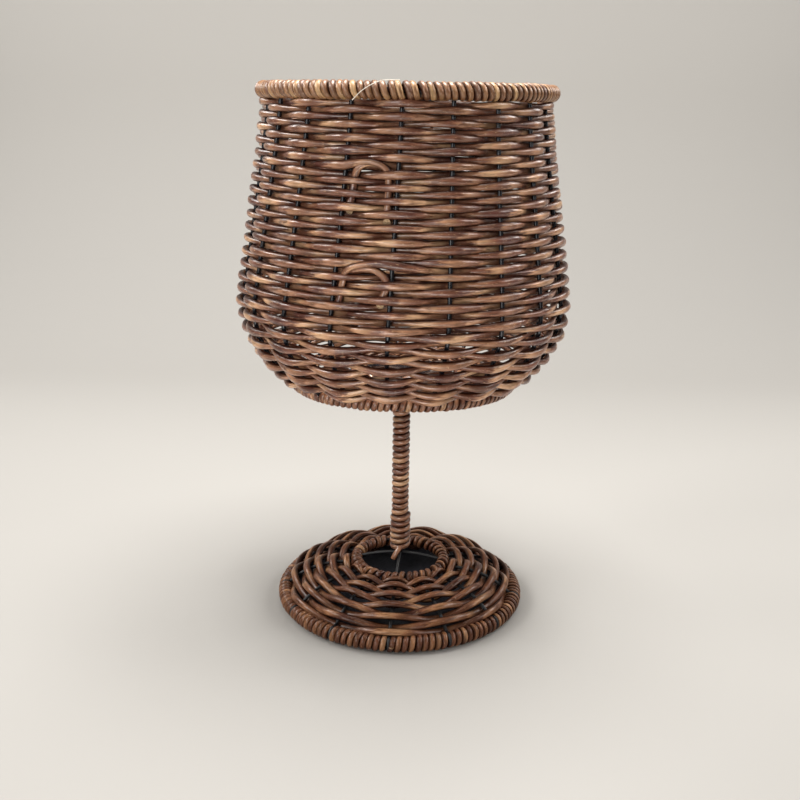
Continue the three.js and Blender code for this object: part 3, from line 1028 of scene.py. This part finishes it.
def stemTailMesh():
    count = stemTail["samples"]
    line = eased(stemTail["points"], count)
    outward = np.tile([stemTail["outward"]], (count, 1))
    halfOut = np.linspace(*stemTail["halfOut"], count)
    halfTall = np.linspace(*stemTail["halfTall"], count)
    return strandMesh(line, outward, halfOut, halfTall, strandSides, stemTail["strandNumber"])


def makeStem():
    upper = [woundStem(upperWinding)]
    lower = [woundStem(lowerWinding), stemTailMesh()]
    onStem = [windingRattan, cutEnd]
    makePiece("rattan_stem_upper", upper, onStem, ["stem_winding_upper"])
    makePiece("rattan_stem_lower", lower, onStem, ["stem_winding_lower"])


makeStem()
print("stem wound")

# Base dome
base = {
    "stakes": 13,
    "firstStake": -4.5,  # degrees from the front
    "stakeRadius": 1.1,
    "hookRadius": 3.75,  # a stake bends round the standing ring this far from its centre
    "hookSweep": (-35, 118),  # degrees up from level, outside the ring
    "hookSamples": 16,
    "domeFrom": 7.0,  # up the dome, where a stake leaves its hook
    "domeSamples": 36,
    "dome": ((78.6, 5.0), (72.8, 14.8), (56.0, 25.65), (30.0, 23.65)),  # radius and height
    "rows": 11,
    "weaveFrom": 6.4,  # up the dome
    "weaveShort": 2.6,  # left free below the inner ring
    "backSteps": 6,  # a row starts this many stakes round from the front
    "weaverOut": 1.65,
    "weaverSide": 2.45,
    "slack": 0.6,  # the strand stands this far off the stakes
    "wander": 1.1,
    "girthStir": (0.06, 60),
    "samples": 12,
    "endGap": 0.03,  # of a step, at the strand's ends
    "seed": 501,
    "strandNumber": 90,
}
baseCurve = curveThrough(base["dome"])
baseLength = baseCurve["s"][-1]
baseStep = turn / base["stakes"]
baseFirst = math.radians(base["firstStake"])


def baseStakeLine(angle):  # over the outside of the standing ring, then up the dome
    phase = np.radians(np.linspace(*base["hookSweep"], base["hookSamples"]))
    r = standingBinding["radius"] + base["hookRadius"] * np.cos(phase)
    z = standingBinding["height"] + base["hookRadius"] * np.sin(phase)
    hook = np.c_[r * math.sin(angle), -r * math.cos(angle), z]
    way = np.c_[np.cos(phase) * math.sin(angle), -np.cos(phase) * math.cos(angle), np.sin(phase)]
    along = np.linspace(base["domeFrom"], baseLength, base["domeSamples"])
    dome, outward = onCurve(baseCurve, along, np.full(len(along), angle), 0.0)
    return np.vstack([hook, dome]), np.vstack([way, outward])


def makeBaseStakes():
    for i, name in enumerate(numbered("base_stake", base["stakes"])):
        path, outward = baseStakeLine(baseFirst + i * baseStep)
        strand = strandMesh(path, outward, base["stakeRadius"], base["stakeRadius"], strandSides, i)
        makePiece("wire_" + name, [strand], [shadedDullWire], [name])


def makeBaseWeave():
    seed, stakes, rows = base["seed"], base["stakes"], base["rows"]
    last = lastStep(rows, stakes)
    count = last * base["samples"] + 1
    steps = np.linspace(base["endGap"], last - base["endGap"], count)
    along = climbed(steps, stakes, rows, base["weaveFrom"], baseLength - base["weaveShort"], 0)
    along = along + stirred(seed, count, base["wander"])
    angle = baseFirst + (steps + base["backSteps"]) * baseStep
    swing = base["stakeRadius"] + base["weaverOut"] + base["slack"]
    path, outward = onCurve(baseCurve, along, angle, overUnder(seed + 2, steps, swing))
    uneven, spacing = base["girthStir"]
    girth = 1 + uneven * softNoise(seed + 4, count, spacing)
    out, side = base["weaverOut"] * girth, base["weaverSide"] * girth
    strand = strandMesh(path, outward, out, side, strandSides, base["strandNumber"])
    makePiece("rattan_base_weaver", [strand], [baseRattan, cutEnd], ["base_weaver"])


crossWires = {  # two thin arched wires that carry the stem
    "firstArm": -5,  # degrees from the front
    "reach": 28.6,
    "crown": 31,  # height in the middle
    "drop": 4.6,  # lower by this at the ends
    "radius": 0.95,
    "samples": 30,
}


def makeCross():
    share = np.linspace(-1, 1, crossWires["samples"])
    r = crossWires["reach"] * share
    z = crossWires["crown"] - crossWires["drop"] * share**2
    upwards = np.tile([[0.0, 0.0, 1.0]], (len(share), 1))
    arms = []
    for i in range(2):
        angle = math.radians(crossWires["firstArm"] + 90 * i)
        path = np.c_[r * math.sin(angle), -r * math.cos(angle), z]
        arms.append(strandMesh(path, upwards, crossWires["radius"], crossWires["radius"], windingSides, i))
    makePiece("wire_base_cross", arms, [shadedDullWire], ["base_cross"])


makeBaseStakes()
makeBaseWeave()
makeCross()
print("base woven")

# Wires and the plate that keep their own shape
bareWires = (
    "bowl_rim_ring",
    "bowl_foot_ring",
    "bowl_floor_spokes",
    "stem_rod",
    "base_ring",
    "base_inner_ring",
)
ownFinish = {name: blackWire for name in bareWires}
ownFinish["base_plate"] = blackPlate
for name, material in ownFinish.items():
    nodes[name].data.materials.clear()
    nodes[name].data.materials.append(material)
print("wires and plate painted")

# Floor, backdrop and light, in metres
studio = {
    "floor": (172, 168, 162),
    "floorRough": 0.9,
    "floorSpecular": 0.1,
    "reach": 3.0,  # of the floor to the front and sides, and of the backdrop upwards
    "bendFrom": 0.55,  # behind the stem, where the floor begins to rise
    "bendRadius": 0.35,
    "bendSteps": 12,
    "world": 0.1,
    "aim": (0, 0, 0.2),
    "lamps": (
        {"at": (-1.05, -0.28, 0.9), "size": (0.35, 0.35), "power": 7.3, "spread": 180},
        {"at": (0.05, 0.02, 1.0), "size": (0.4, 0.4), "power": 12.0, "spread": 180},
        {"at": (-0.65, -1.3, 0.5), "size": (0.9, 0.7), "power": 7.6, "spread": 180},
        {"at": (1.1, -0.3, 0.8), "size": (0.6, 0.6), "power": 5.2, "spread": 180},
        {"at": (0, -0.42, 0.03), "size": (0.6, 0.15), "power": 0.2, "spread": 60},
        {"at": (-0.85, 0.45, 0.8), "size": (0.4, 0.4), "power": 5.0, "spread": 180},
        {"at": (0.9, 0.42, 0.75), "size": (0.4, 0.4), "power": 4.5, "spread": 180},
    ),
}


def makeBackdrop():  # a pale floor that bends up behind
    reach, start, radius = studio["reach"], studio["bendFrom"], studio["bendRadius"]
    profile = [(-reach, 0.0), (start, 0.0)]
    for i in range(1, studio["bendSteps"] + 1):
        a = math.pi / 2 * i / studio["bendSteps"]
        profile.append((start + radius * math.sin(a), radius - radius * math.cos(a)))
    profile.append((start + radius, reach))
    verts = [(x, y, z) for y, z in profile for x in (-reach, reach)]
    faces = [(2 * i, 2 * i + 1, 2 * i + 3, 2 * i + 2) for i in range(len(profile) - 1)]
    mesh = bpy.data.meshes.new("studioFloor")
    mesh.from_pydata(verts, [], faces)
    mesh.polygons.foreach_set("use_smooth", [True] * len(faces))
    paper, _, shader = newMaterial("paperFloor")
    shader.inputs["Base Color"].default_value = srgb(*studio["floor"])
    shader.inputs["Roughness"].default_value = studio["floorRough"]
    shader.inputs["Specular IOR Level"].default_value = studio["floorSpecular"]
    mesh.materials.append(paper)
    floor = bpy.data.objects.new("studioFloor", mesh)
    bpy.context.scene.collection.objects.link(floor)


def makeLight():
    world = bpy.data.worlds.new("studioWorld")
    world.use_nodes = True
    background = world.node_tree.nodes["Background"]
    background.inputs["Color"].default_value = (1.0, 1.0, 1.0, 1.0)
    background.inputs["Strength"].default_value = studio["world"]
    bpy.context.scene.world = world
    for i, lamp in enumerate(studio["lamps"]):
        data = bpy.data.lights.new("softLamp_" + str(i + 1), "AREA")
        data.shape = "RECTANGLE"
        data.size, data.size_y = lamp["size"]
        data.energy = lamp["power"]
        data.spread = math.radians(lamp["spread"])
        light = bpy.data.objects.new(data.name, data)
        bpy.context.scene.collection.objects.link(light)
        way = Vector(studio["aim"]) - Vector(lamp["at"])
        light.location = lamp["at"]
        light.rotation_euler = way.to_track_quat("-Z", "Y").to_euler()


makeBackdrop()
makeLight()
print("studio lit")
